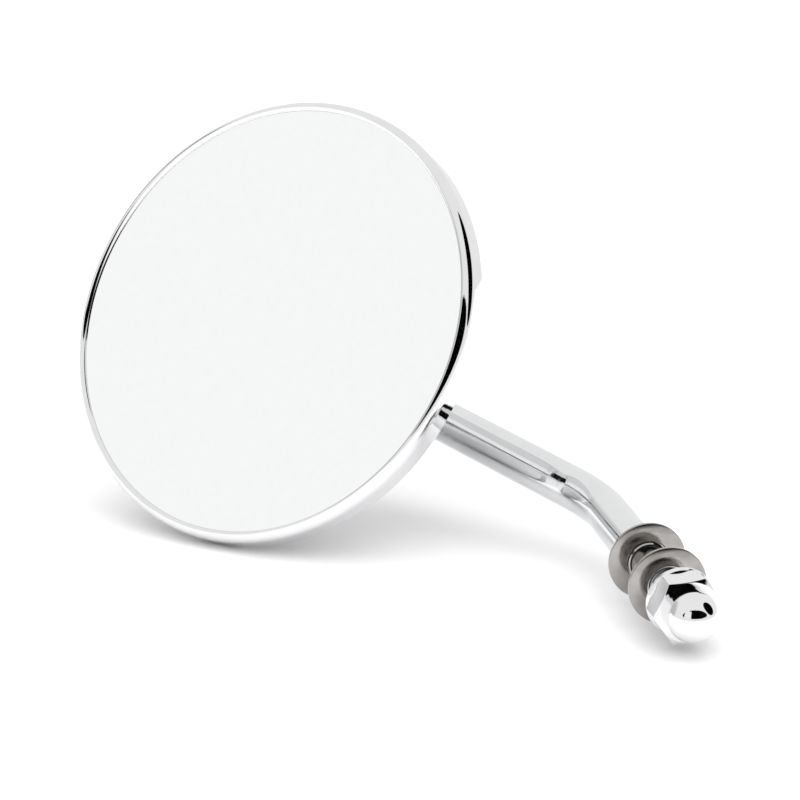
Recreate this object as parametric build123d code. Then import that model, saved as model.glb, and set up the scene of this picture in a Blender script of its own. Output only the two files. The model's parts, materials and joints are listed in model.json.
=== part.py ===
from build123d import *
import math
import os

# Round chromed handlebar mirror: a 4 inch head on a ball joint, a bent rod stem and an M8 stud.
# Millimetres. Origin: on the stud's axis, midway between the two washers. +Z is up from the surface
# that the mirror lies on. Directions are azimuth from -Y towards +X, and elevation, in degrees.

STUD_AZ, STUD_EL = 12.4, -3.85
RUN_AZ, RUN_EL = 46.35, -12.2
NECK_AZ, NECK_EL = -35.3, 34.0
FACE_AZ, FACE_EL = -33.15, 27.6

# Stem: rod, two bends, turned stud and neck
ROD_R = 4.75
RUN_LEN = 77.8
STUD_LEG = 35.1
ELBOW_R = 27.0
HOOK_R = 9.5
NECK_R = 2.8
NECK_DROP = 17.0
NECK_SHOULDER = 7.25
COLLAR_R = 4.25
COLLAR_OUT = 0.3
SHANK_R = 3.98
THREAD_R = 3.95
THREAD_ROOT_R = 3.4
PITCH = 1.25
THREAD_START = 7.0
THREAD_END = 19.6

# Washers, crowned on the nut's side, and cap nut, as places along the stud from the origin
CLAMP_GAP_HALF = 6.2
WASHER_R = 8.1
WASHER_T = 1.6
WASHER_HOLE_R = 4.45
WASHER_CROWN = 0.75
WASHER_GAP = 0.05
OUTER_WASHER_AT = 6.3
NUT_AT = 14.6
NUT_FACE_R = 7.0
NUT_FACE_T = 1.4
NUT_FLATS = 12.8
HEX_END = 21.7
NUT_BORE_R = 4.0
NUT_TURN = 6.0
DOME_R = 5.2
DOME_AT = 23.9
DOME_WALL = 0.7
CAP_SEAT = 1.2

# Ball joint, measured from the ball's centre
BALL_R = 6.0
BALL_DEPTH = 17.0
LINER_IN_R, LINER_OUT_R = 6.05, 7.15
CUP_IN_R, CUP_OUT_R = 7.2, 8.2
MOUTH_DEG = 57.0
CUP_FLANGE_R = 19.0
CUP_FLANGE_Z = 3.0
SHEET_T = 1.0

# Head, with z = 0 at the widest circle's front and +z out of the glass
HEAD_R = 50.8
LIP_R = 48.45
RING_T = 0.6
RING_FRONT, RING_BACK = 2.15, -4.3
CHANNEL_BEND = 0.6
GLASS_R, GLASS_T = 49.5, 2.5
GLASS_FRONT = 1.2
COAT_T = 0.1
PAD_R, PAD_T = 45.8, 2.6
PLATE_R, PLATE_T = 44.4, 0.8
SHELL_T = 0.9
SHELL_BACK = -22.4
SHELL_HOLE_R = 9.0
FLANGE_Z = -2.9
BRIDGE_Z, BRIDGE_T = -7.4, 1.2
SCREW_R, SCREW_HEAD_R, SCREW_HEAD_T = 1.5, 2.7, 0.9
SCREW_RING_R = 15.0
SCREW_COUNT = 3
POST_FOOT_Z = -20.0


def direction(azimuth, elevation):
    az, el = math.radians(azimuth), math.radians(elevation)
    return Vector(math.sin(az) * math.cos(el), -math.cos(az) * math.cos(el), math.sin(el))


STUD_DIR = direction(STUD_AZ, STUD_EL)
RUN_DIR = direction(RUN_AZ, RUN_EL)
FACE_DIR = direction(FACE_AZ, FACE_EL)
neck_guess = direction(NECK_AZ, NECK_EL)
NECK_DIR = (neck_guess - RUN_DIR * neck_guess.dot(RUN_DIR)).normalized()

SHOULDER = STUD_DIR * -(CLAMP_GAP_HALF + WASHER_T)
ELBOW = SHOULDER - STUD_DIR * STUD_LEG
HOOK = ELBOW - RUN_DIR * RUN_LEN
BALL_CENTRE = HOOK + NECK_DIR * NECK_DROP
HEAD_CENTRE = BALL_CENTRE + FACE_DIR * BALL_DEPTH

UP = Vector(0, 0, 1)
stud_frame = Plane(origin=(0, 0, 0), x_dir=UP.cross(STUD_DIR), z_dir=STUD_DIR).location
neck_frame = Plane(origin=BALL_CENTRE, x_dir=RUN_DIR, z_dir=NECK_DIR).location
ball_frame = Plane(origin=BALL_CENTRE, x_dir=UP.cross(FACE_DIR), z_dir=FACE_DIR).location
head_frame = Plane(origin=HEAD_CENTRE, x_dir=UP.cross(FACE_DIR), z_dir=FACE_DIR).location


def turned(*edges):
    """Solid of revolution about Z from outline edges given in (radius, height)."""
    return revolve(Plane.XZ * make_face(Wire(list(edges))), Axis.Z)


def lathe(*points):
    """Solid of revolution about Z from a closed outline of (radius, height) corners."""
    return revolve(Plane.XZ * make_face(Polyline(*points, close=True)), Axis.Z)


def ring(inner, outer, low, high):
    return lathe((inner, low), (outer, low), (outer, high), (inner, high))


def disc(radius, low, high, edge=0.0):
    if edge == 0.0:
        return lathe((0, low), (radius, low), (radius, high), (0, high))
    return lathe((0, low), (radius, low), (radius, high - edge), (radius - edge, high), (0, high))


def on_circle(radius, degrees):
    angle = math.radians(degrees)
    return (radius * math.sin(angle), radius * math.cos(angle))


def sphere_zone(inner, outer, from_deg, to_deg):
    """Spherical wall about the origin between two polar angles from +Z."""
    middle = (from_deg + to_deg) / 2
    outside = ThreePointArc(on_circle(outer, from_deg), on_circle(outer, middle), on_circle(outer, to_deg))
    inside = ThreePointArc(on_circle(inner, to_deg), on_circle(inner, middle), on_circle(inner, from_deg))
    return turned(outside, Line(outside @ 1, inside @ 0), inside, Line(inside @ 1, outside @ 0))


def corner_arc(corner, before, after, radius):
    """Arc of the given radius that rounds a corner between two directions."""
    half = math.radians(before.get_angle(after)) / 2
    reach = radius * math.tan(half)
    start = corner - before * reach
    end = corner + after * reach
    inward = (after - before).normalized()
    middle = corner + inward * (radius / math.cos(half) - radius)
    return ThreePointArc(start, middle, end)


def make_stem():
    """One bar: neck, hook, straight run, elbow, collar, plain shank and thread."""
    start = BALL_CENTRE - NECK_DIR * NECK_SHOULDER
    hook = corner_arc(HOOK, -NECK_DIR, RUN_DIR, HOOK_R)
    elbow = corner_arc(ELBOW, RUN_DIR, STUD_DIR, ELBOW_R)
    spine = Wire([
        Line(start, hook @ 0),
        hook,
        Line(hook @ 1, elbow @ 0),
        elbow,
        Line(elbow @ 1, SHOULDER),
    ])
    rod = sweep(Plane(origin=start, z_dir=-NECK_DIR) * Circle(ROD_R), path=spine)
    neck = neck_frame * ring(0, NECK_R, -NECK_SHOULDER - 0.5, -1.0)
    return rod + neck + stud_frame * make_stud()


def make_stud():
    low = -(CLAMP_GAP_HALF + WASHER_T)
    collar_top = -CLAMP_GAP_HALF + COLLAR_OUT
    edge = COLLAR_R - SHANK_R
    outline = [(0, low - 0.5), (COLLAR_R, low - 0.5), (COLLAR_R, collar_top - edge), (SHANK_R, collar_top)]
    outline.append((SHANK_R, THREAD_START))
    depth = THREAD_R - THREAD_ROOT_R
    turns = int((THREAD_END - THREAD_START) / PITCH)
    for turn in range(turns):
        crest = THREAD_START + 0.3 + turn * PITCH
        outline.append((THREAD_R, crest))
        outline.append((THREAD_ROOT_R, crest + depth))
        outline.append((THREAD_ROOT_R, crest + PITCH - depth))
    outline += [(THREAD_ROOT_R, THREAD_END), (0, THREAD_END)]
    return lathe(*outline)


def make_ball():
    return neck_frame * (Sphere(BALL_R) - ring(0, NECK_R, -BALL_R - 1, -1.0))


def make_washer(low):
    """Stamped ring, flat behind and crowned in front."""
    high = low + WASHER_T
    rim = high - WASHER_CROWN
    middle = ((WASHER_R + WASHER_HOLE_R) / 2, high - WASHER_CROWN * 0.32)
    crown = ThreePointArc((WASHER_R, rim), middle, (WASHER_HOLE_R, high))
    return stud_frame * turned(
        Line((WASHER_HOLE_R, high), (WASHER_HOLE_R, low)),
        Line((WASHER_HOLE_R, low), (WASHER_R, low)),
        Line((WASHER_R, low), (WASHER_R, rim)), crown)


def make_nut_body():
    """Hexagon on a round washer face, corners chamfered, with a seat for the cap."""
    hex_low = NUT_AT + NUT_FACE_T
    corner_r = NUT_FLATS / 2 / math.cos(math.radians(30))
    prism = Pos(0, 0, hex_low) * extrude(RegularPolygon(corner_r, 6, rotation=NUT_TURN), HEX_END - hex_low)
    far_r = NUT_FACE_R + 3
    turned_limit = lathe(
        (0, NUT_AT), (far_r, NUT_AT), (far_r, HEX_END - 1.6), (NUT_FLATS / 2 - 0.2, HEX_END), (0, HEX_END))
    face = lathe(
        (0, NUT_AT), (NUT_FACE_R - 0.4, NUT_AT), (NUT_FACE_R, NUT_AT + 0.4), (NUT_FACE_R, hex_low - 0.4),
        (NUT_FLATS / 2, hex_low + 0.1), (0, hex_low + 0.1))
    seat = ring(0, DOME_R, HEX_END - CAP_SEAT, HEX_END + 1)
    bore = ring(0, NUT_BORE_R, NUT_AT - 1, HEX_END + 1)
    return stud_frame * ((prism & turned_limit) + face - seat - bore)


def make_nut_cap():
    """Pressed dome: a short wall and a half sphere, hollow inside."""
    low = HEX_END - CAP_SEAT
    inner = DOME_R - DOME_WALL
    crown = on_circle(DOME_R, 45)
    hollow = on_circle(inner, 45)
    outside = ThreePointArc((DOME_R, DOME_AT), (crown[0], DOME_AT + crown[1]), (0, DOME_AT + DOME_R))
    inside = ThreePointArc((0, DOME_AT + inner), (hollow[0], DOME_AT + hollow[1]), (inner, DOME_AT))
    return stud_frame * turned(
        Line((inner, low), (DOME_R, low)), Line((DOME_R, low), (DOME_R, DOME_AT)), outside,
        Line(outside @ 1, inside @ 0), inside, Line((inner, DOME_AT), (inner, low)))


def make_rim_ring():
    """Rolled channel: rounded front lip over the glass, outer band, and a crimp behind the shell."""
    inner = HEAD_R - RING_T
    seat = GLASS_R + 0.1
    lip_top = (LIP_R + 0.9, RING_FRONT)
    front = ThreePointArc((HEAD_R, 0), (HEAD_R - 0.5, 1.3), lip_top)
    nose = ThreePointArc(lip_top, (LIP_R + 0.29, RING_FRONT - 0.3), (LIP_R, GLASS_FRONT + 0.25))
    return turned(
        Line((HEAD_R - 1.5, RING_BACK), (HEAD_R - 0.4, RING_BACK)),
        ThreePointArc(
            (HEAD_R - 0.4, RING_BACK), (HEAD_R - 0.12, RING_BACK + 0.12), (HEAD_R, RING_BACK + 0.4)),
        Line((HEAD_R, RING_BACK + 0.4), (HEAD_R, 0)), front, nose,
        Line((LIP_R, GLASS_FRONT + 0.25), (LIP_R, GLASS_FRONT)),
        Line((LIP_R, GLASS_FRONT), (seat, GLASS_FRONT)),
        Line((seat, GLASS_FRONT), (inner, CHANNEL_BEND)),
        Line((inner, CHANNEL_BEND), (inner, RING_BACK + RING_T)),
        Line((inner, RING_BACK + RING_T), (HEAD_R - 1.5, RING_BACK + RING_T)),
        Line((HEAD_R - 1.5, RING_BACK + RING_T), (HEAD_R - 1.5, RING_BACK)))


def make_shell():
    """Pressed bowl with a rolled-out flange at the rim and a hole for the neck."""
    flange_low = FLANGE_Z - 0.75
    edge = HEAD_R - 0.7
    wall = HEAD_R - 1.8
    outside = ThreePointArc((wall, flange_low), (31.0, -15.6), (SHELL_HOLE_R, SHELL_BACK))
    inside = ThreePointArc((SHELL_HOLE_R, SHELL_BACK + SHELL_T), (30.4, -14.9), (wall - SHELL_T, FLANGE_Z))
    return turned(
        Line((edge, FLANGE_Z), (edge, flange_low)), Line((edge, flange_low), (wall, flange_low)), outside,
        Line(outside @ 1, inside @ 0), inside, Line(inside @ 1, (edge, FLANGE_Z)))


def make_gasket():
    """Rubber band round the glass edge, with a foot behind it."""
    outer = HEAD_R - RING_T - 0.02
    back = GLASS_FRONT - GLASS_T
    return lathe((GLASS_R, GLASS_FRONT), (GLASS_R + 0.08, GLASS_FRONT), (outer, CHANNEL_BEND),
                 (outer, FLANGE_Z), (PAD_R + 0.4, FLANGE_Z), (PAD_R + 0.4, back - COAT_T),
                 (GLASS_R, back - COAT_T))


def make_socket_cup():
    """Steel cup behind the ball, with a flange that the screws pass through."""
    flange_top = CUP_FLANGE_Z + SHEET_T
    cup = sphere_zone(CUP_IN_R, CUP_OUT_R, 90, 180 - MOUTH_DEG)
    cup += ring(CUP_IN_R, CUP_OUT_R, 0, flange_top)
    cup += ring(CUP_IN_R, CUP_FLANGE_R, CUP_FLANGE_Z, flange_top)
    for x, y in screw_places():
        cup -= Pos(x, y, CUP_FLANGE_Z) * Cylinder(SCREW_R + 0.1, 4)
    return ball_frame * cup


def make_pressure_cup():
    """Dome over the front of the ball, stepped for the spring washer."""
    zone = sphere_zone(CUP_IN_R, CUP_OUT_R, 0, 55)
    seat = ring(0, 4.0, CUP_IN_R + 0.3, CUP_OUT_R + 0.15)
    return ball_frame * (zone + seat)


def make_spring_washer():
    """Conical spring between the pressure cup and the bridge plate."""
    low = CUP_OUT_R + 0.15
    high = BALL_DEPTH + BRIDGE_Z
    outline = [(2.0, low), (3.4, low), (7.0, high - 0.5), (7.0, high), (6.0, high), (2.0, low + 0.5)]
    return ball_frame * lathe(*outline)


def make_bridge_plate():
    """Thick strap that the three screws pull down onto the spring."""
    plate = ring(0, CUP_FLANGE_R, BRIDGE_Z, BRIDGE_Z + BRIDGE_T)
    for x, y in screw_places():
        plate -= Pos(x, y, BRIDGE_Z) * Cylinder(SCREW_R + 0.1, 4)
    return head_frame * plate


def screw_places():
    step = 360 / SCREW_COUNT
    for index in range(SCREW_COUNT):
        angle = math.radians(90 + step * index)
        yield SCREW_RING_R * math.cos(angle), SCREW_RING_R * math.sin(angle)


def make_screws():
    """Pan-head screws through the bridge plate, spacers and cup flange into the studs."""
    head_low = BRIDGE_Z + BRIDGE_T
    tip = -BALL_DEPTH + CUP_FLANGE_Z - 4.0
    one = ring(0, SCREW_R, tip, head_low) + disc(SCREW_HEAD_R, head_low, head_low + SCREW_HEAD_T, 0.3)
    slot = Pos(0, 0, head_low + SCREW_HEAD_T) * Box(SCREW_HEAD_R * 3, 0.6, 0.8)
    return Compound([head_frame * (Pos(x, y, 0) * (one - slot)) for x, y in screw_places()])


def make_spacers():
    low = -BALL_DEPTH + CUP_FLANGE_Z + SHEET_T
    one = ring(SCREW_R + 0.1, SCREW_HEAD_R, low, BRIDGE_Z)
    return Compound([head_frame * (Pos(x, y, 0) * one) for x, y in screw_places()])


def make_shell_studs():
    """Threaded posts welded inside the shell, under the cup flange."""
    high = -BALL_DEPTH + CUP_FLANGE_Z
    bowl = make_shell()
    one = ring(0, SCREW_HEAD_R, POST_FOOT_Z, high) - ring(0, SCREW_R, high - 4.0, high)
    return Compound([head_frame * (Pos(x, y, 0) * one - bowl) for x, y in screw_places()])


glass_back = GLASS_FRONT - GLASS_T
pad_front = glass_back - COAT_T
plate_front = pad_front - PAD_T

nodes = {
    "stem": make_stem(),
    "ball": make_ball(),
    "inner_washer": make_washer(WASHER_GAP - CLAMP_GAP_HALF - WASHER_T),
    "outer_washer": make_washer(OUTER_WASHER_AT),
    "nut_body": make_nut_body(),
    "nut_cap": make_nut_cap(),
    "rear_liner": neck_frame * sphere_zone(LINER_IN_R, LINER_OUT_R, 98, 148),
    "front_liner": neck_frame * sphere_zone(LINER_IN_R, LINER_OUT_R, 0, 66),
    "socket_cup": make_socket_cup(),
    "pressure_cup": make_pressure_cup(),
    "spring_washer": make_spring_washer(),
    "bridge_plate": make_bridge_plate(),
    "bridge_screws": make_screws(),
    "bridge_spacers": make_spacers(),
    "shell_studs": make_shell_studs(),
    "head_shell": head_frame * make_shell(),
    "rim_ring": head_frame * make_rim_ring(),
    "glass_gasket": head_frame * make_gasket(),
    "mirror_glass": head_frame * disc(GLASS_R, glass_back, GLASS_FRONT, 0.2),
    "mirror_coat": head_frame * disc(GLASS_R - 0.2, pad_front, glass_back),
    "foam_pad": head_frame * disc(PAD_R, plate_front, pad_front),
    "backing_plate": head_frame * disc(PLATE_R, plate_front - PLATE_T, plate_front),
}

os.makedirs("parts", exist_ok=True)
for name, shape in nodes.items():
    export_step(shape, f"parts/{name}.step")
    print(name, round(shape.volume, 2))
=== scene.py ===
import json
import math

import bmesh
import bpy
from mathutils import Matrix, Vector


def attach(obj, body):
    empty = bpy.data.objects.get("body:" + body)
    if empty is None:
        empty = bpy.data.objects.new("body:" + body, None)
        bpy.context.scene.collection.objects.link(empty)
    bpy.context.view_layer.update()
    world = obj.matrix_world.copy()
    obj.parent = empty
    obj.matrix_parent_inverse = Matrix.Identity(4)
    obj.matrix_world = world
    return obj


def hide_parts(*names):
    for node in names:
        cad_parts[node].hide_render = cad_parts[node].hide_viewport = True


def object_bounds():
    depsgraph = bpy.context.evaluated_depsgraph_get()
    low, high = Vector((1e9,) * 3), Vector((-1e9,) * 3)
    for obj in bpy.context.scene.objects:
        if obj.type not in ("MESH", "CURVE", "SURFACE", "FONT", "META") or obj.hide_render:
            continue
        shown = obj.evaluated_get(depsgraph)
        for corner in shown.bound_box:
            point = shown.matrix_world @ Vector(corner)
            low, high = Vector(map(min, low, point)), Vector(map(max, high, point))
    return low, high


# Looks for a round chromed handlebar mirror. Lengths in this script are millimetres in each part's
# own frame; placing a piece turns them into metres.
MM = 0.001

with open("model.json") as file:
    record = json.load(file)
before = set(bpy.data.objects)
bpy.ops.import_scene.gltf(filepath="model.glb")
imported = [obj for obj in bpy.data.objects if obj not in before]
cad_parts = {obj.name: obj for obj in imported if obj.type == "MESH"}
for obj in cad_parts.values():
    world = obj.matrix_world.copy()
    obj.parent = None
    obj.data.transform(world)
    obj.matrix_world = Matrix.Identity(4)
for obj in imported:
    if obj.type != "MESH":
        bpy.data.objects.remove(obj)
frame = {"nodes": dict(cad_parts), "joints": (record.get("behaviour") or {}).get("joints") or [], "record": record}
CAD_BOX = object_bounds()
JOINTS = {joint["name"]: joint for joint in frame["joints"]}

# Axes and places, from the joints
STUD_DIR = Vector(JOINTS["nut_turn"]["axis"])
NECK_DIR = Vector(JOINTS["head_swivel"]["axis"])
FACE_DIR = Vector(JOINTS["head_lean"]["axis"]).cross(Vector(JOINTS["head_nod"]["axis"])).normalized()
BALL = Vector(JOINTS["head_swivel"]["pos_m"]) / MM
SIDE = Vector(JOINTS["head_nod"]["axis"])

# Stem
ROD_R = 4.75
STUD_LEG = 35.1
ELBOW_R = 27.0
HOOK_R = 9.5
NECK_R = 2.8
NECK_DROP = 17.0
NECK_SHOULDER = 7.25
COLLAR_R, COLLAR_TOP = 4.25, -5.9
SHANK_R = 3.98
THREAD_R, THREAD_ROOT_R, PITCH = 3.95, 3.4, 1.25
THREAD_START, THREAD_END = 7.0, 19.6
SHOULDER = -7.8

# Washers and nut
WASHER_R, WASHER_T, WASHER_HOLE_R, WASHER_CROWN = 8.1, 1.6, 4.45, 0.75
INNER_WASHER_AT, OUTER_WASHER_AT = -7.75, 6.3
NUT_AT, NUT_FACE_R, NUT_FACE_T = 14.6, 7.0, 1.4
NUT_FLATS, HEX_END, NUT_TURN = 12.8, 21.7, 6.0
NUT_BORE_R = 4.0
DOME_R, DOME_AT, DOME_WALL, CAP_SEAT = 5.2, 23.9, 0.7, 1.2

# Head
HEAD_R, LIP_R = 50.8, 48.45
RING_FRONT, RING_BACK, RING_T = 2.15, -4.3, 0.6
CHANNEL_BEND, CRIMP_IN, CRIMP_ROUND = 0.6, 1.5, 0.4
SEAT_GAP = 0.02
BALL_DEPTH = 17.0
GLASS_R, GLASS_T, GLASS_FRONT = 49.5, 2.5, 1.2
SHELL_BACK, SHELL_T, SHELL_HOLE_R, FLANGE_Z = -22.4, 0.9, 9.0, -2.9
BOWL_OUTSIDE, BOWL_INSIDE = (31.0, -15.6), (30.4, -14.9)
FLANGE_T, FLANGE_IN, WALL_IN = 0.75, 0.7, 1.8

# Camera and floor
CAMERA_AT = Vector((-51.9, -587.1, 184.3))
CAMERA_TILT = 14.175
CAMERA_LENS, CAMERA_SENSOR = 137.10, 36.0
FLOOR_HALF = 6.0


# ---------------------------------------------------------------- places

def placing(origin, z_dir, x_hint):
    """Matrix from a part's own millimetres to the row's metres."""
    z_axis = z_dir.normalized()
    x_axis = (x_hint - z_axis * x_hint.dot(z_axis)).normalized()
    y_axis = z_axis.cross(x_axis)
    turn = Matrix((x_axis, y_axis, z_axis)).transposed().to_4x4()
    return Matrix.Translation(origin * MM) @ turn @ Matrix.Scale(MM, 4)


UP = Vector((0, 0, 1))
HEAD_PLACE = placing(BALL + FACE_DIR * BALL_DEPTH, FACE_DIR, UP.cross(FACE_DIR))
STUD_PLACE = placing(Vector((0, 0, 0)), STUD_DIR, UP.cross(STUD_DIR))


# ---------------------------------------------------------------- meshes

def rounded(corners, closed=True, steps=8):
    """Outline through (radius, height, corner radius) with each corner turned into an arc."""
    points = []
    count = len(corners)
    for index, (x, z, round_r) in enumerate(corners):
        here = Vector((x, z))
        at_end = not closed and index in (0, count - 1)
        if at_end or round_r == 0:
            points.append(here)
            continue
        before = (here - Vector(corners[index - 1][:2])).normalized()
        after = (Vector(corners[(index + 1) % count][:2]) - here).normalized()
        half = before.angle(after) / 2
        reach = round_r * math.tan(half)
        start = here - before * reach
        centre = here + (after - before).normalized() * (round_r / math.cos(half))
        arm = start - centre
        sign = 1 if before.x * after.y - before.y * after.x > 0 else -1
        for step in range(steps + 1):
            turn = sign * 2 * half * step / steps
            cos, sin = math.cos(turn), math.sin(turn)
            points.append(centre + Vector((arm.x * cos - arm.y * sin, arm.x * sin + arm.y * cos)))
    return [(point.x, point.y) for point in points]


def arc_through(first, middle, last, count):
    """Points along the circle through three (radius, height) places."""
    (ax, ay), (bx, by), (cx, cy) = first, middle, last
    twice = 2 * (ax * (by - cy) + bx * (cy - ay) + cx * (ay - by))
    a2, b2, c2 = ax * ax + ay * ay, bx * bx + by * by, cx * cx + cy * cy
    ox = (a2 * (by - cy) + b2 * (cy - ay) + c2 * (ay - by)) / twice
    oy = (a2 * (cx - bx) + b2 * (ax - cx) + c2 * (bx - ax)) / twice
    radius = math.hypot(ax - ox, ay - oy)
    start, end = math.atan2(ay - oy, ax - ox), math.atan2(cy - oy, cx - ox)
    angles = [start + (end - start) * step / count for step in range(count + 1)]
    return [(ox + radius * math.cos(angle), oy + radius * math.sin(angle)) for angle in angles]


def grid_mesh(name, rows, wrap_rows, place, sharp_deg=40):
    """Mesh from rows of points, each row a closed loop; a one-point row is a pole."""
    mesh = bmesh.new()
    made = [[mesh.verts.new(point) for point in row] for row in rows]
    pairs = list(zip(made, made[1:]))
    if wrap_rows:
        pairs.append((made[-1], made[0]))
    for low, high in pairs:
        count = max(len(low), len(high))
        for index in range(count):
            corner = [low[index % len(low)], low[(index + 1) % len(low)]]
            corner += [high[(index + 1) % len(high)], high[index % len(high)]]
            unique = list(dict.fromkeys(corner))
            if len(unique) > 2:
                mesh.faces.new(unique)
    bmesh.ops.recalc_face_normals(mesh, faces=mesh.faces)
    data = bpy.data.meshes.new(name)
    mesh.to_mesh(data)
    mesh.free()
    data.polygons.foreach_set("use_smooth", [True] * len(data.polygons))
    data.set_sharp_from_angle(angle=math.radians(sharp_deg))
    piece = bpy.data.objects.new(name, data)
    piece.matrix_world = place
    bpy.context.scene.collection.objects.link(piece)
    return piece


def circle_row(radius, height, steps):
    if radius < 1e-6:
        return [(0.0, 0.0, height)]
    angles = [2 * math.pi * step / steps for step in range(steps)]
    return [(radius * math.cos(angle), radius * math.sin(angle), height) for angle in angles]


def lathe(name, outline, place, steps=192, closed=True, sharp_deg=40):
    rows = [circle_row(radius, height, steps) for radius, height in outline]
    return grid_mesh(name, rows, closed, place, sharp_deg)


# ---------------------------------------------------------------- materials

def new_material(name, base, metallic, roughness):
    material = bpy.data.materials.new(name)
    material.use_nodes = True
    shader = material.node_tree.nodes["Principled BSDF"]
    shader.inputs["Base Color"].default_value = (*base, 1)
    shader.inputs["Metallic"].default_value = metallic
    shader.inputs["Roughness"].default_value = roughness
    return material, material.node_tree, shader


def noise(tree, scale, detail, coordinates):
    node = tree.nodes.new("ShaderNodeTexNoise")
    node.inputs["Scale"].default_value = scale
    node.inputs["Detail"].default_value = detail
    tree.links.new(coordinates, node.inputs["Vector"])
    return node.outputs["Fac"]


def ramp(tree, value, low, high, from_min=0.3, from_max=0.7):
    node = tree.nodes.new("ShaderNodeMapRange")
    node.inputs["From Min"].default_value = from_min
    node.inputs["From Max"].default_value = from_max
    node.inputs["To Min"].default_value = low
    node.inputs["To Max"].default_value = high
    tree.links.new(value, node.inputs["Value"])
    return node.outputs["Result"]


def mix_colour(tree, factor, first, second):
    node = tree.nodes.new("ShaderNodeMix")
    node.data_type = "RGBA"
    node.inputs["A"].default_value = (*first, 1)
    node.inputs["B"].default_value = (*second, 1)
    tree.links.new(factor, node.inputs["Factor"])
    return node.outputs["Result"]


def bump(tree, shader, height, distance, strength=1.0):
    node = tree.nodes.new("ShaderNodeBump")
    node.inputs["Distance"].default_value = distance
    node.inputs["Strength"].default_value = strength
    tree.links.new(height, node.inputs["Height"])
    tree.links.new(node.outputs["Normal"], shader.inputs["Normal"])


def object_place(tree):
    return tree.nodes.new("ShaderNodeTexCoord").outputs["Object"]


def chrome(name, base, roughness, coordinate_scale=1.0):
    """Bright plate: faint cloudy haze in the roughness and a barely uneven skin."""
    material, tree, shader = new_material(name, base, 1.0, roughness)
    place = object_place(tree)
    haze = noise(tree, 0.16 * coordinate_scale, 3, place)
    fine = noise(tree, 2.5 * coordinate_scale, 2, place)
    tree.links.new(ramp(tree, haze, roughness * 0.6, roughness * 1.7), shader.inputs["Roughness"])
    tint = mix_colour(tree, ramp(tree, haze, 0, 1), base, tuple(channel * 0.965 for channel in base))
    tree.links.new(tint, shader.inputs["Base Color"])
    bump(tree, shader, fine, 0.000002)
    return material


def radial_distance(tree, place):
    """Distance from the part's own axis, from its object coordinates."""
    split = tree.nodes.new("ShaderNodeVectorMath")
    split.operation = "MULTIPLY"
    split.inputs[1].default_value = (1, 1, 0)
    tree.links.new(place, split.inputs[0])
    length = tree.nodes.new("ShaderNodeVectorMath")
    length.operation = "LENGTH"
    tree.links.new(split.outputs["Vector"], length.inputs[0])
    return length.outputs["Value"]


def nickel(name):
    """Washer plate: darker and warmer than chrome, with fine turned rings."""
    material, tree, shader = new_material(name, (0.4, 0.385, 0.37), 1.0, 0.08)
    place = object_place(tree)
    radius = radial_distance(tree, place)
    rings = tree.nodes.new("ShaderNodeTexNoise")
    rings.noise_dimensions = "1D"
    rings.inputs["Scale"].default_value = 9.0
    rings.inputs["Detail"].default_value = 3
    tree.links.new(radius, rings.inputs["W"])
    cloud = noise(tree, 0.35, 3, place)
    tree.links.new(ramp(tree, cloud, 0.06, 0.13), shader.inputs["Roughness"])
    colour = mix_colour(tree, ramp(tree, cloud, 0, 1), (0.42, 0.4, 0.385), (0.33, 0.315, 0.3))
    tree.links.new(colour, shader.inputs["Base Color"])
    bump(tree, shader, rings.outputs["Fac"], 0.00001, 0.5)
    return material


def mirror_face(name):
    """Silvered glass with a trace of dust in the gloss."""
    material, tree, shader = new_material(name, (0.95, 0.955, 0.955), 1.0, 0.015)
    dust = noise(tree, 0.6, 5, object_place(tree))
    tree.links.new(ramp(tree, dust, 0.008, 0.03), shader.inputs["Roughness"])
    tree.links.new(mix_colour(tree, ramp(tree, dust, 0, 1), (0.95, 0.955, 0.955), (0.935, 0.942, 0.945)),
                   shader.inputs["Base Color"])
    return material


def rough_stuff(name, first, second, metallic, roughness, scale, depth):
    """Rubber, foam, nylon, paint and plated inner steel: two tones of fine grain."""
    material, tree, shader = new_material(name, first, metallic, roughness)
    grain = noise(tree, scale, 4, object_place(tree))
    tree.links.new(mix_colour(tree, ramp(tree, grain, 0, 1), first, second), shader.inputs["Base Color"])
    tree.links.new(ramp(tree, grain, roughness * 0.8, min(1.0, roughness * 1.2)), shader.inputs["Roughness"])
    bump(tree, shader, grain, depth)
    return material


HEAD_CHROME = chrome("head_chrome", (0.8, 0.8, 0.805), 0.03)
STEM_CHROME = chrome("stem_chrome", (0.78, 0.785, 0.79), 0.04)
NUT_CHROME = chrome("nut_chrome", (0.82, 0.82, 0.825), 0.03, 3.0)
# Painted shade: the shank is stem chrome darkened to stand in for the shade and dark washer reflections in the gap
# between the washers.
SHANK_PAINTED_SHADE = chrome("shank_painted_shade", (0.42, 0.415, 0.41), 0.06, 2.0)
# Painted shade: the thread is stem chrome darkened to stand in for the shade in the gap between the outer washer
# and the nut.
THREAD_PAINTED_SHADE = chrome("thread_painted_shade", (0.3, 0.29, 0.285), 0.16, 2.0)
WASHER_NICKEL = nickel("washer_nickel")
MIRROR_FACE = mirror_face("mirror_face")
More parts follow.
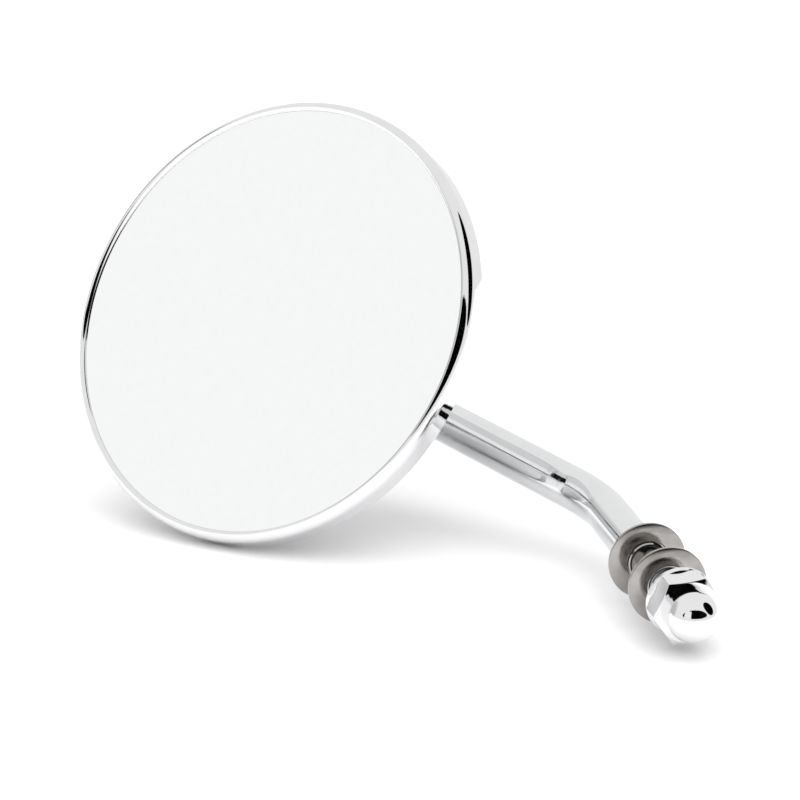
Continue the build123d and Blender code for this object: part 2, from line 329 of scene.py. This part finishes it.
# Carried-over CAD nodes are in metres, so their grain is scaled by a thousand: two tones, metallic,
# roughness, grain scale and grain depth
CAD_LOOKS = {
    "inner_steel": ((0.56, 0.56, 0.57), (0.48, 0.49, 0.51), 1.0, 0.32, 900, 0.00002),
    "spring_steel": ((0.3, 0.3, 0.32), (0.22, 0.23, 0.26), 1.0, 0.3, 1200, 0.00001),
    "nylon": ((0.86, 0.84, 0.77), (0.8, 0.78, 0.7), 0.0, 0.45, 1500, 0.00001),
    "foam": ((0.07, 0.07, 0.075), (0.03, 0.03, 0.032), 0.0, 0.95, 2500, 0.0002),
    "seal_rubber": ((0.03, 0.03, 0.032), (0.05, 0.05, 0.05), 0.0, 0.6, 1800, 0.00002),
    "mirror_paint": ((0.24, 0.27, 0.3), (0.2, 0.22, 0.25), 0.0, 0.55, 1500, 0.00001),
}
CAD_MATERIALS = {name: rough_stuff(name, *look) for name, look in CAD_LOOKS.items()}


def finish_piece(piece, material, body, slot, *nodes):
    piece.data.materials.append(material)
    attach(piece, body)
    if nodes:
        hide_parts(*nodes)
    return piece


# ---------------------------------------------------------------- head

def build_rim():
    """Rolled channel: rounded lip over the glass, outer band and a crimp behind the shell."""
    lip_top = (LIP_R + 0.9, RING_FRONT)
    nose = arc_through((LIP_R, GLASS_FRONT + 0.25), (LIP_R + 0.29, RING_FRONT - 0.3), lip_top, 16)
    front = arc_through(lip_top, (HEAD_R - 0.5, 1.3), (HEAD_R, 0), 24)
    crimp_r, inner_r, seat = HEAD_R - CRIMP_IN, HEAD_R - RING_T, GLASS_FRONT + SEAT_GAP
    crimp = rounded([
        (HEAD_R, -0.5, 0), (HEAD_R, RING_BACK, CRIMP_ROUND), (crimp_r, RING_BACK, 0.15),
        (crimp_r, RING_BACK + RING_T, 0), (inner_r, RING_BACK + RING_T, 0), (inner_r, CHANNEL_BEND, 0),
        (GLASS_R + 0.1, seat, 0), (LIP_R, seat, 0),
    ], closed=False)
    outline = nose + front[1:] + crimp
    rim = lathe("rim", outline, HEAD_PLACE, 384)
    return finish_piece(rim, HEAD_CHROME, "head", "head_chrome", "rim_ring")


def build_glass():
    """Flat disc with softened edges."""
    back = GLASS_FRONT - GLASS_T
    outline = rounded([
        (0, back, 0), (GLASS_R, back, 0.1), (GLASS_R, GLASS_FRONT, 0.2), (0, GLASS_FRONT, 0),
    ], closed=False)
    glass = lathe("glass", outline, HEAD_PLACE, 256, closed=False)
    return finish_piece(glass, MIRROR_FACE, "head", "mirror_face", "mirror_glass")


def build_shell():
    """Pressed bowl with a flange at the rim and a softened hole for the neck."""
    wall, edge = HEAD_R - WALL_IN, HEAD_R - FLANGE_IN
    flange_low = FLANGE_Z - FLANGE_T
    hole_outside = (SHELL_HOLE_R + 0.4, SHELL_BACK + 0.05)
    hole_inside = (SHELL_HOLE_R, SHELL_BACK + SHELL_T)
    outside = arc_through((wall, flange_low), BOWL_OUTSIDE, hole_outside, 60)
    inside = arc_through(hole_inside, BOWL_INSIDE, (wall - SHELL_T, FLANGE_Z), 60)
    lip = [(SHELL_HOLE_R + 0.12, SHELL_BACK + 0.15), (SHELL_HOLE_R, SHELL_BACK + 0.42)]
    outline = [(edge, FLANGE_Z), (edge, flange_low)] + outside + lip + inside
    shell = lathe("shell", outline, HEAD_PLACE, 256)
    return finish_piece(shell, HEAD_CHROME, "head", "head_chrome", "head_shell")


# ---------------------------------------------------------------- stem

def corner_arc(corner, before, after, radius, count):
    """Points and tangents along the arc that rounds a corner."""
    angle = before.angle(after)
    reach = radius * math.tan(angle / 2)
    start = corner - before * reach
    inward = (after - before * after.dot(before)).normalized()
    centre = start + inward * radius
    places = []
    for step in range(count + 1):
        turn = angle * step / count
        point = centre - inward * radius * math.cos(turn) + before * radius * math.sin(turn)
        tangent = before * math.cos(turn) + inward * math.sin(turn)
        places.append((point, tangent))
    return places


def stem_route():
    shoulder = STUD_DIR * SHOULDER
    elbow = shoulder - STUD_DIR * STUD_LEG
    hook_to_ball = NECK_DIR * NECK_DROP
    hook = BALL - hook_to_ball
    run_dir = (elbow - hook).normalized()
    route = [(BALL - NECK_DIR * NECK_SHOULDER, -NECK_DIR)]
    route += corner_arc(hook, -NECK_DIR, run_dir, HOOK_R, 40)
    route += corner_arc(elbow, run_dir, STUD_DIR, ELBOW_R, 48)
    route.append((shoulder, STUD_DIR))
    return route


def build_rod():
    """Round bar along the route, ring after ring, with eased ends."""
    steps = 128
    route = stem_route()
    rows = []
    across = None
    ease = 0.35
    start, first_dir = route[0]
    end, last_dir = route[-1]
    rings = [(start, first_dir, NECK_R - 0.1), (start, first_dir, ROD_R - ease)]
    rings += [(start + first_dir * ease, first_dir, ROD_R)]
    rings += [(point, tangent, ROD_R) for point, tangent in route[1:-1]]
    rings += [(end - last_dir * ease, last_dir, ROD_R), (end, last_dir, ROD_R - ease)]
    rings += [(end, last_dir, 3.0)]
    angles = [2 * math.pi * step / steps for step in range(steps)]
    for point, tangent, radius in rings:
        if across is None:
            across = tangent.orthogonal().normalized()
        across = (across - tangent * across.dot(tangent)).normalized()
        other = tangent.cross(across)
        arms = [across * math.cos(angle) + other * math.sin(angle) for angle in angles]
        rows.append([point + arm * radius for arm in arms])
    rod = grid_mesh("rod", rows, False, Matrix.Scale(MM, 4), 30)
    return finish_piece(rod, STEM_CHROME, "stem", "stem_chrome", "stem")


def build_neck():
    place = placing(BALL, NECK_DIR, SIDE)
    outline = [(0, -NECK_SHOULDER - 0.4), (NECK_R, -NECK_SHOULDER - 0.4), (NECK_R, -1.0), (0, -1.0)]
    neck = lathe("neck", outline, place, 96, closed=False)
    return finish_piece(neck, STEM_CHROME, "stem", "stem_chrome")


def build_shank():
    """Collar under the inner washer, then the bare shank."""
    outline = rounded([
        (0, SHOULDER - 0.4, 0), (COLLAR_R, SHOULDER - 0.4, 0), (COLLAR_R, COLLAR_TOP - 0.27, 0.12),
        (SHANK_R, COLLAR_TOP, 0.12), (SHANK_R, THREAD_START + 0.1, 0.1),
        (THREAD_ROOT_R, THREAD_START + 0.5, 0), (0, THREAD_START + 0.5, 0),
    ], closed=False)
    shank = lathe("shank", outline, STUD_PLACE, 128, closed=False)
    # The darker shank plate is painted shade between the washers.
    return finish_piece(shank, SHANK_PAINTED_SHADE, "stem", "stem_chrome")


def build_thread():
    """Helical thread: the radius follows the distance to the nearest turn of the helix."""
    steps, spacing = 72, 0.08
    rows = []
    levels = int((THREAD_END - THREAD_START) / spacing)
    for level in range(levels + 1):
        height = THREAD_START + spacing * level
        row = []
        for step in range(steps):
            angle = 2 * math.pi * step / steps
            phase = ((height / PITCH) - step / steps) % 1.0
            tooth = min(1.0, max(0.0, 1.25 - abs(phase - 0.5) * 3.2))
            run_in = min(1.0, level * spacing / PITCH)
            radius = THREAD_ROOT_R + (THREAD_R - THREAD_ROOT_R) * max(tooth, 1 - run_in)
            row.append((radius * math.cos(angle), radius * math.sin(angle), height))
        rows.append(row)
    rows.append([(0.0, 0.0, THREAD_END)])
    thread = grid_mesh("thread", rows, False, STUD_PLACE, 60)
    # The darker thread plate is painted shade in the gap before the nut.
    return finish_piece(thread, THREAD_PAINTED_SHADE, "stem", "stem_chrome")


# ---------------------------------------------------------------- washers and nut

def build_washer(name, low, body, node):
    """Flat behind, crowned in front, edges softened."""
    high = low + WASHER_T
    rim = high - WASHER_CROWN
    middle = ((WASHER_R + WASHER_HOLE_R) / 2, high - WASHER_CROWN * 0.32)
    crown = arc_through((WASHER_R - 0.05, rim), middle, (WASHER_HOLE_R + 0.1, high), 24)
    hole = [(WASHER_HOLE_R, high - 0.1), (WASHER_HOLE_R, low)]
    edge = [(WASHER_R - 0.15, low), (WASHER_R, low + 0.15), (WASHER_R, rim - 0.05)]
    outline = hole + edge + crown
    washer = lathe(name, outline, STUD_PLACE, 192, sharp_deg=50)
    return finish_piece(washer, WASHER_NICKEL, body, "washer_nickel", node)


def hex_radius(angle, round_r):
    """Distance to the side of a hexagon whose corners are rounded."""
    apothem = NUT_FLATS / 2
    sector = (angle % (math.pi / 3)) - math.pi / 6
    flat = apothem / math.cos(sector)
    corner_centre = (apothem - round_r) / math.cos(math.pi / 6)
    from_corner = math.pi / 6 - abs(sector)
    inside = round_r * round_r - (corner_centre * math.sin(from_corner)) ** 2
    if inside < 0:
        return flat
    round_reach = corner_centre * math.cos(from_corner) + math.sqrt(inside)
    flat_end = math.atan2(round_r * math.sin(math.pi / 6), corner_centre + round_r * math.cos(math.pi / 6))
    return min(flat, round_reach) if from_corner <= flat_end else flat


def build_nut():
    """Washer face, hexagon with chamfered corners, and a flat top round the cap."""
    steps = 720
    turn = math.radians(NUT_TURN)
    angles = [2 * math.pi * step / steps for step in range(steps)]
    hex_low = NUT_AT + NUT_FACE_T
    corner_r = NUT_FLATS / 2 / math.cos(math.pi / 6)
    face = rounded([
        (NUT_BORE_R, NUT_AT, 0), (NUT_FACE_R - 0.35, NUT_AT, 0.15), (NUT_FACE_R, NUT_AT + 0.4, 0.25),
        (NUT_FACE_R, hex_low - 0.35, 0.25), (NUT_FACE_R - 0.3, hex_low, 0),
    ], closed=False, steps=5)
    rows = [circle_row(radius, height, steps) for radius, height in face]
    top_rise = 0.6
    levels = [0.0, 0.02, 0.05, 0.1, 0.2, 0.35, 0.5, 0.65, 0.8, 0.9, 0.96, 1.0]
    body_end = HEX_END - top_rise
    heights = [hex_low + (body_end - hex_low) * level for level in levels]
    heights += [body_end + top_rise * step / 24 for step in range(1, 25)]
    for height in heights:
        low_cone = NUT_FACE_R - 0.3 + (height - hex_low) * 2.4
        rise = max(0.0, height - body_end) / top_rise
        high_cone = corner_r - (corner_r - NUT_FLATS / 2 + 0.1) * rise
        row = []
        for angle in angles:
            radius = min(hex_radius(angle - turn, 0.25), low_cone, high_cone)
            row.append((radius * math.cos(angle), radius * math.sin(angle), height))
        rows.append(row)
    seat_r, seat_low = DOME_R - 0.1, HEX_END - 1.0
    top = [(NUT_FLATS / 2 - 0.35, HEX_END), (seat_r, HEX_END), (seat_r, seat_low), (NUT_BORE_R, seat_low)]
    rows += [circle_row(radius, height, steps) for radius, height in top]
    nut = grid_mesh("nut", rows, True, STUD_PLACE, 28)
    return finish_piece(nut, NUT_CHROME, "nut", "nut_chrome", "nut_body")


def build_cap():
    low = HEX_END - CAP_SEAT
    inner = DOME_R - DOME_WALL
    crown = [(DOME_R * math.cos(math.radians(deg)), DOME_AT + DOME_R * math.sin(math.radians(deg)))
             for deg in range(0, 91, 3)]
    hollow = [(inner * math.cos(math.radians(deg)), DOME_AT + inner * math.sin(math.radians(deg)))
              for deg in range(90, -1, -6)]
    outline = [(inner, low), (DOME_R - 0.05, low), (DOME_R, HEX_END)] + crown + hollow
    outline = [(max(radius, 0.0), height) for radius, height in outline]
    cap = lathe("cap", outline, STUD_PLACE, 192)
    return finish_piece(cap, NUT_CHROME, "nut", "nut_chrome", "nut_cap")


# ---------------------------------------------------------------- studio

def build_floor():
    """Plain pale paper at the part's lowest point."""
    low = CAD_BOX[0][2]
    half = FLOOR_HALF
    data = bpy.data.meshes.new("floor")
    corners = [(-half, -half, low), (half, -half, low), (half, half, low), (-half, half, low)]
    data.from_pydata(corners, [], [(0, 1, 2, 3)])
    floor = bpy.data.objects.new("floor", data)
    bpy.context.scene.collection.objects.link(floor)
    material, tree, shader = new_material("floor_paper", (0.8, 0.8, 0.805), 0.0, 0.6)
    shader.inputs["Specular IOR Level"].default_value = 0.2
    data.materials.append(material)


def build_camera():
    camera = bpy.data.cameras.new("camera")
    camera.lens = CAMERA_LENS
    camera.sensor_width = CAMERA_SENSOR
    camera.clip_start = 0.01
    camera.clip_end = 50.0
    holder = bpy.data.objects.new("camera", camera)
    holder.location = CAMERA_AT * MM
    holder.rotation_euler = (math.radians(90 - CAMERA_TILT), 0, 0)
    bpy.context.scene.collection.objects.link(holder)
    bpy.context.scene.camera = holder


def sky_direction(azimuth, elevation):
    """Azimuth from -Y towards +X and elevation, in degrees, as a unit vector."""
    az, el = math.radians(azimuth), math.radians(elevation)
    return (math.sin(az) * math.cos(el), -math.cos(az) * math.cos(el), math.sin(el))


class SkyPainter:
    """White studio surroundings with dark openings, placed by azimuth and elevation."""

    def __init__(self, tree):
        self.tree = tree
        place = tree.nodes.new("ShaderNodeTexCoord").outputs["Generated"]
        split = tree.nodes.new("ShaderNodeSeparateXYZ")
        tree.links.new(place, split.inputs[0])
        x, y, z = split.outputs
        self.place = place
        self.azimuth = self.degrees(self.math("ARCTAN2", x, self.math("MULTIPLY", y, -1.0)))
        self.elevation = self.degrees(self.math("ARCSINE", z))

    def along(self, direction):
        node = self.tree.nodes.new("ShaderNodeVectorMath")
        node.operation = "DOT_PRODUCT"
        node.inputs[1].default_value = direction
        self.tree.links.new(self.place, node.inputs[0])
        return node.outputs["Value"]

    def math(self, operation, first, second=0.0):
        node = self.tree.nodes.new("ShaderNodeMath")
        node.operation = operation
        for socket, value in zip(node.inputs, (first, second)):
            if isinstance(value, (int, float)):
                socket.default_value = value
            else:
                self.tree.links.new(value, socket)
        return node.outputs[0]

    def degrees(self, value):
        return self.math("MULTIPLY", value, 180 / math.pi)

    def step(self, value, edge, soft, rising):
        node = self.tree.nodes.new("ShaderNodeMapRange")
        node.interpolation_type = "SMOOTHSTEP"
        node.inputs["From Min"].default_value = edge - soft
        node.inputs["From Max"].default_value = edge + soft
        node.inputs["To Min"].default_value = 0.0 if rising else 1.0
        node.inputs["To Max"].default_value = 1.0 if rising else 0.0
        self.tree.links.new(value, node.inputs["Value"])
        return node.outputs["Result"]

    def oval(self, azimuth, elevation, half_wide, half_high, soft=0.06):
        """1 inside an oval patch of sky and 0 outside it."""
        towards = sky_direction(azimuth, elevation)
        right = sky_direction(azimuth + 90, 0)
        up = tuple(Vector(right).cross(Vector(towards)))
        across = self.math("DIVIDE", self.along(right), math.sin(math.radians(half_wide)))
        above = self.math("DIVIDE", self.along(up), math.sin(math.radians(half_high)))
        spread = self.math("ADD", self.math("MULTIPLY", across, across), self.math("MULTIPLY", above, above))
        front = self.step(self.along(towards), 0.0, 0.01, True)
        return self.math("MULTIPLY", self.step(spread, 1.0, soft, False), front)

    def window(self, az_low, az_high, el_low, el_high, soft=1.5):
        """1 inside a patch of sky and 0 outside it."""
        sides = self.math("MULTIPLY", self.step(self.azimuth, az_low, soft, True),
                          self.step(self.azimuth, az_high, soft, False))
        ends = self.math("MULTIPLY", self.step(self.elevation, el_low, soft, True),
                         self.step(self.elevation, el_high, soft, False))
        return self.math("MULTIPLY", sides, ends)


# The dark room behind the viewer: azimuth, elevation, half width, half height
DARK_OVALS = [(2, 28, 54, 19), (86, 32, 20, 24)]
# The greyer side of the room, at the left of the viewer
GREY_OVAL, GREY_LEVEL = (-122, 8, 26, 24), 0.6
# The bright window in the dark room: azimuth low and high, elevation low and high
WINDOW = (-47, -16, 8, 40)
# White of the room as it shows in chrome, and the light that it gives to everything else
SKY_LEVEL, SKY_GLOSS = 0.97, 1.0
# Soft key: where it comes from, and the light away from it and straight at it
KEY_FROM, KEY_LOW, KEY_HIGH = (20, 68), 0.5, 1.85
SKY_LIGHT = 1.36


def build_sky():
    """World: chrome sees the painted room, and everything else gets even light with a soft key."""
    world = bpy.data.worlds.new("studio")
    world.use_nodes = True
    tree = world.node_tree
    bpy.context.scene.world = world
    sky = SkyPainter(tree)
    level = SKY_LEVEL
    for oval in DARK_OVALS:
        level = sky.math("MULTIPLY", level, sky.math("SUBTRACT", 1.0, sky.oval(*oval)))
    level = sky.math("MAXIMUM", level, sky.window(*WINDOW))
    grey = sky.oval(*GREY_OVAL, soft=0.5)
    level = sky.math("SUBTRACT", level, sky.math("MULTIPLY", grey, SKY_LEVEL - GREY_LEVEL))
    path = tree.nodes.new("ShaderNodeLightPath")
    seen = tree.nodes.new("ShaderNodeBackground")
    tree.links.new(level, seen.inputs["Color"])
    seen.inputs["Strength"].default_value = SKY_GLOSS
    even = tree.nodes.new("ShaderNodeBackground")
    key_level = ramp(tree, sky.along(sky_direction(*KEY_FROM)), KEY_LOW, KEY_HIGH, 0.2, 1.0)
    tree.links.new(key_level, even.inputs["Color"])
    even.inputs["Strength"].default_value = SKY_LIGHT
    mix = tree.nodes.new("ShaderNodeMixShader")
    tree.links.new(path.outputs["Is Glossy Ray"], mix.inputs["Fac"])
    tree.links.new(even.outputs[0], mix.inputs[1])
    tree.links.new(seen.outputs[0], mix.inputs[2])
    tree.links.new(mix.outputs[0], tree.nodes["World Output"].inputs["Surface"])


def main():
    build_rim()
    build_glass()
    build_shell()
    build_rod()
    build_neck()
    build_shank()
    build_thread()
    build_washer("washer_inner", INNER_WASHER_AT, "inner_washer", "inner_washer")
    build_washer("washer_outer", OUTER_WASHER_AT, "outer_washer", "outer_washer")
    build_nut()
    build_cap()
    slots = {entry["node"]: entry["material_slot"] for entry in frame["record"]["subparts"]}
    for node, piece in frame["nodes"].items():
        if slots[node] in CAD_MATERIALS:
            piece.data.materials.clear()
            piece.data.materials.append(CAD_MATERIALS[slots[node]])
    build_floor()
    build_camera()
    build_sky()
    bpy.context.scene.view_settings.view_transform = "Standard"


main()
